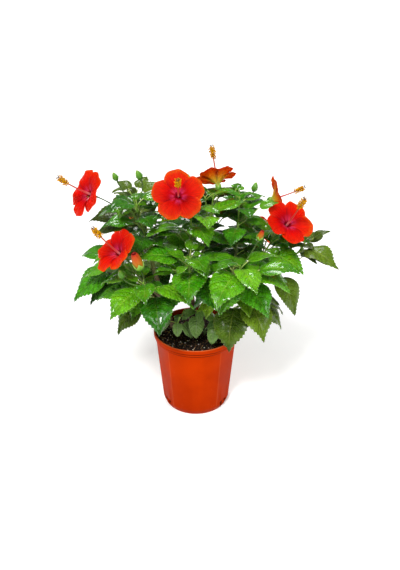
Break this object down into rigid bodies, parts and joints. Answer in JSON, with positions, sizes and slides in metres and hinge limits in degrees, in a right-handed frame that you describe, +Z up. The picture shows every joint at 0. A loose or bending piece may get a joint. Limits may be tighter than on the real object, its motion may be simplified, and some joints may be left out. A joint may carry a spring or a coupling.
{
  "type": "potted hibiscus shrub",
  "caption": "Flowering shrub in a round tapered nursery pot: woody stems, forking boughs and masses of broad toothed leaves with large five-petalled blooms and buds.",
  "frame": {"origin": "middle of the pot's flat underside, on the surface it stands on", "axes": "+Z up, -Y towards the front, from where most blooms show, +X to the right as seen from the front"},
  "size_m": [0.6167, 0.4599, 0.6346],
  "materials": {
    "pot_plastic": "moulded terracotta orange plastic with a soft gloss",
    "potting_mix": "damp dark brown bark mix with pale grains",
    "bark": "rough grey-brown bark",
    "green_bark": "smooth green to brown young bark",
    "foliage": "glossy green leaves, with scarlet satin petals"
  },
  "bodies": {
    "root": {"pot": "pot_plastic", "potting_mix": "potting_mix", "stem_left": "bark", "stem_middle": "bark", "stem_right": "bark", "bough_front_left": "green_bark", "bough_front_right": "green_bark", "bough_front_middle": "green_bark", "bough_left": "green_bark", "bough_right": "green_bark", "bough_far_left": "green_bark", "bough_far_right": "green_bark", "bough_low_right": "green_bark", "bough_low_left": "green_bark", "bough_low_front": "green_bark", "bough_upper_left": "green_bark", "bough_centre_front": "green_bark", "bough_upper_back": "green_bark", "bough_upper_right": "green_bark", "bough_back_left": "green_bark", "bough_back": "green_bark", "bough_back_right": "green_bark", "bough_low_back_left": "green_bark", "bough_low_back_right": "green_bark", "foliage_front_left": "foliage", "foliage_front_right": "foliage", "foliage_front_middle": "foliage", "foliage_left": "foliage", "foliage_right": "foliage", "foliage_far_left": "foliage", "foliage_far_right": "foliage", "foliage_low_right": "foliage", "foliage_low_left": "foliage", "foliage_low_front": "foliage", "foliage_upper_left": "foliage", "foliage_centre_front": "foliage", "foliage_upper_back": "foliage", "foliage_upper_right": "foliage", "foliage_back_left": "foliage", "foliage_back": "foliage", "foliage_back_right": "foliage", "foliage_low_back_left": "foliage", "foliage_low_back_right": "foliage", "sprout_left": "foliage", "sprout_middle": "foliage", "sprout_right": "foliage"}
  },
  "joints": []
}
